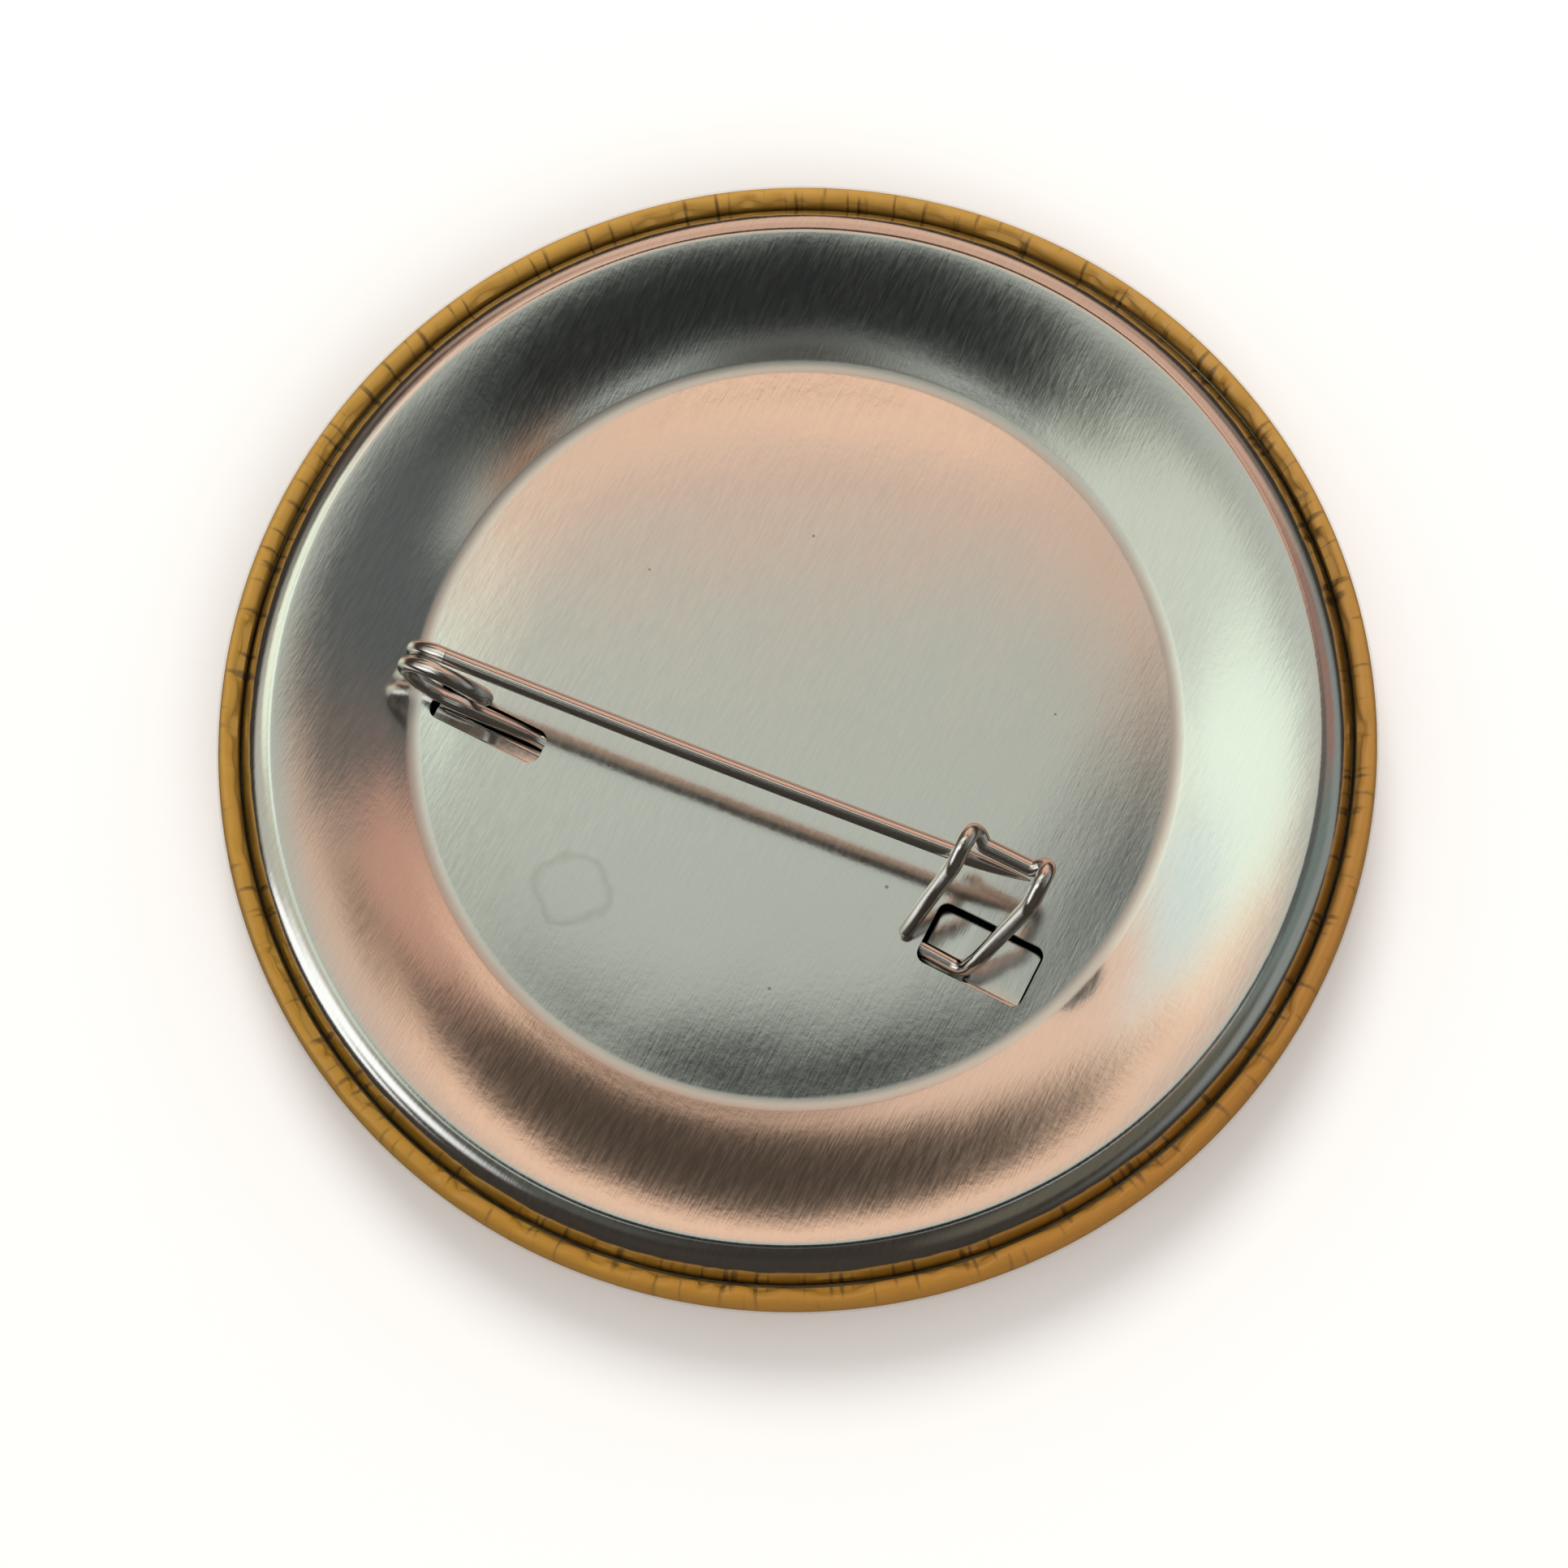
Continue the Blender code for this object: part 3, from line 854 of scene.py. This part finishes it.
def tube(name, points, shares, material):
    """A closed round tube along points, with UVs round it and along it in millimetres."""
    directions = tangents(points)
    side = directions[0].orthogonal().normalized()
    places = []
    lengths = [0.0]
    for i, point in enumerate(points):
        if i:
            side = directions[i - 1].rotation_difference(directions[i]) @ side
            lengths.append(lengths[-1] + (point - points[i - 1]).length)
        other = directions[i].cross(side)
        for k in range(WIRE_SIDES):
            angle = 2 * math.pi * k / WIRE_SIDES
            offset = (side * math.cos(angle) + other * math.sin(angle)) * WIRE_RADIUS * shares[i]
            places.append((point + offset + Vector((0.0, 0.0, DISC_HEIGHT))) * MM)
    faces = [tuple(range(WIRE_SIDES))]
    rounds = [[(k / WIRE_SIDES, 0.0) for k in range(WIRE_SIDES)]]
    for i in range(len(points) - 1):
        for k in range(WIRE_SIDES):
            j = (k + 1) % WIRE_SIDES
            low = i * WIRE_SIDES
            high = low + WIRE_SIDES
            faces.append((low + k, low + j, high + j, high + k))
            u = (k / WIRE_SIDES, (k + 1) / WIRE_SIDES)
            v = (lengths[i], lengths[i + 1])
            rounds.append([(u[0], v[0]), (u[1], v[0]), (u[1], v[1]), (u[0], v[1])])
    last = (len(points) - 1) * WIRE_SIDES
    faces.append(tuple(last + k for k in range(WIRE_SIDES)))
    rounds.append([(k / WIRE_SIDES, lengths[-1]) for k in range(WIRE_SIDES)])
    mesh = bpy.data.meshes.new(name)
    mesh.from_pydata(places, [], faces)
    layer = mesh.uv_layers.new(name="wire")
    layer.data.foreach_set("uv", [part for face in rounds for pair in face for part in pair])
    face_out(mesh)
    return new_object(name, mesh, material, WIRE_SHARP_ANGLE)


def spring_wire(material):
    """The coil, the wire under the plate and the catch, as one wire with a cut end."""
    end = COIL_TURNS * 2 * math.pi
    points = [coil_point(end * i / COIL_POINTS) for i in range(COIL_POINTS)]
    points += rounded_route(((coil_point(end), 0.0), *CATCH_ROUTE))
    shares = [1.0] * len(points)
    cut = points[-1]
    back = (points[-2] - cut).normalized()
    points[-1:] = [cut + back * CUT_LENGTH, cut]
    shares[-1:] = [1.0, CUT_SHARE]
    return tube("spring_wire_fine", points, shares, material)


def pin_wire(material):
    """The pin from the coil's top to its point, very slightly bowed."""
    root = coil_point(0.0)
    tip = Vector(PIN_TIP)
    length = (tip - root).length
    points = []
    shares = []
    for i in range(PIN_POINTS + 1):
        share = i / PIN_POINTS
        bow = PIN_BOW * math.sin(math.pi * share)
        points.append(root.lerp(tip, share) - Vector((0.0, bow, 0.0)))
        left = length * (1 - share)
        taper = min(left / PIN_TAPER_LENGTH, 1.0)
        shares.append(PIN_TIP_SHARE + (1 - PIN_TIP_SHARE) * math.sin(taper * math.pi / 2) ** 0.8)
    return tube("pin_fine", points, shares, material)


# ---- camera, floor and light ----


def set_camera():
    """The camera, turned so that the disc lies a little above the picture's middle."""
    eye = Vector(EYE)
    disc = Vector((0.0, 0.0, DISC_HEIGHT))
    forward = (disc - eye).normalized()
    right = forward.cross(Vector(UP_HINT)).normalized()
    up = right.cross(forward)
    target = disc + right * AIM_SHIFT[0] + up * AIM_SHIFT[1]
    forward = (target - eye).normalized()
    right = forward.cross(Vector(UP_HINT)).normalized()
    up = right.cross(forward)
    data = bpy.data.cameras.new("camera")
    data.lens = LENS
    data.sensor_width = SENSOR
    data.clip_start = 0.005
    data.clip_end = 20.0
    camera = bpy.data.objects.new("camera", data)
    turned_to_aim = Matrix((right, up, -forward)).transposed().to_4x4()
    camera.matrix_world = Matrix.Translation(eye * MM) @ turned_to_aim
    bpy.context.scene.collection.objects.link(camera)
    bpy.context.scene.camera = camera


def add_floor():
    """A large plain floor under the badge."""
    half = FLOOR_SIZE / 2
    mesh = bpy.data.meshes.new("floor")
    corners = [(-half, -half, 0.0), (half, -half, 0.0), (half, half, 0.0), (-half, half, 0.0)]
    mesh.from_pydata(corners, [], [(0, 1, 2, 3)])
    floor = new_object("floor", mesh, floor_paint())
    floor.visible_glossy = False


def area_light(name, place, size, power, colour):
    """A soft round light that faces the badge, unseen in reflections."""
    data = bpy.data.lights.new(name, "AREA")
    data.shape = "DISK"
    data.size = size
    data.energy = power
    data.color = colour
    light = bpy.data.objects.new(name, data)
    light.location = place
    light.rotation_euler = (-Vector(place)).to_track_quat("-Z", "Y").to_euler()
    light.visible_glossy = False
    light.visible_camera = False
    bpy.context.scene.collection.objects.link(light)


def reflected_surroundings(tree):
    """The colour of what lies in a direction, for reflections."""
    direction = node(tree, "ShaderNodeTexCoord").outputs["Generated"]
    up_hint = Vector(UP_HINT)
    right_hint = Vector((up_hint.y, -up_hint.x, 0.0))
    height = dot(tree, direction, (0.0, 0.0, 1.0))
    degrees = 180 / math.pi
    tilt_across = calc(tree, "ARCTAN2", dot(tree, direction, right_hint), height)
    tilt_along = calc(tree, "ARCTAN2", dot(tree, direction, up_hint), height)
    across = calc(tree, "MULTIPLY", tilt_across, degrees)
    along = calc(tree, "MULTIPLY", tilt_along, degrees)
    colour = linear(SURROUNDINGS_BASE)
    for patch, centre, size, softness in SURROUNDINGS:
        x = calc(tree, "DIVIDE", calc(tree, "SUBTRACT", across, centre[0]), size[0])
        y = calc(tree, "DIVIDE", calc(tree, "SUBTRACT", along, centre[1]), size[1])
        squares = calc(tree, "ADD", calc(tree, "MULTIPLY", x, x), calc(tree, "MULTIPLY", y, y))
        away = calc(tree, "SQRT", squares)
        share = ramp(tree, away, 1 - softness, 1 + softness, 1.0, 0.0)
        colour = mix(tree, share, colour, linear(patch))
    return colour


def set_world():
    """Pale to the camera, patches of a room in reflections, and soft white light for the rest."""
    world = bpy.data.worlds.new("surroundings")
    world.use_nodes = True
    tree = world.node_tree
    background = tree.nodes["Background"]
    rays = node(tree, "ShaderNodeLightPath")
    glossy = rays.outputs["Is Glossy Ray"]
    strength = ramp(tree, glossy, 0.0, 1.0, PLAIN_STRENGTH, REFLECTION_STRENGTH)
    colour = mix(tree, glossy, PLAIN_LIGHT, reflected_surroundings(tree))
    feed(tree, background.inputs["Color"], colour)
    feed(tree, background.inputs["Strength"], strength)
    world.cycles.sampling_method = "NONE"
    bpy.context.scene.world = world


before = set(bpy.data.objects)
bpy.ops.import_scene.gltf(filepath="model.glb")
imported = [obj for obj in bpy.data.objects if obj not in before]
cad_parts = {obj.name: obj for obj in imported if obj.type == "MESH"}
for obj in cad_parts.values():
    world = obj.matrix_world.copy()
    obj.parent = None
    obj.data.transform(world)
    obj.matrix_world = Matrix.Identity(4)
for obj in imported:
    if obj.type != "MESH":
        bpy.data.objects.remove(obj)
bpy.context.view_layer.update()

paper = printed_paper()
film = clear_film()
tin = tinplate()
wire = nickel()

creases = pleat_shift(pleat_table())
film_fine = front_layer("clear_film_fine", 0.0, FILM_THICKNESS, FILM_TUCK, film, creases)
print_fine = front_layer("print_fine", PRINT_OFFSET, PRINT_THICKNESS, PRINT_TUCK, paper, creases)
shell_fine = front_layer("shell_fine", SHELL_OFFSET, SHELL_THICKNESS, SHELL_TUCK, tin, creases)
pieces = (
    (film_fine, "clear_film", ("clear_film",)),
    (print_fine, "printed_paper", ("artwork_print",)),
    (shell_fine, "tinplate", ("front_shell",)),
    (back_plate(tin), "tinplate", ("back_plate",)),
    (spring_wire(wire), "nickel_wire", ("catch_wire", "pin_coil")),
)
for piece, material_slot, nodes in pieces:
    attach(piece, "badge")
    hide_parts(*nodes)

pin = pin_wire(wire)
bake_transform(pin)
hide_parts("pin_arm")

add_floor()
area_light("key", *KEY_LIGHT)
area_light("fill", *FILL_LIGHT)
set_world()
set_camera()
bpy.context.scene.view_settings.view_transform = "Standard"
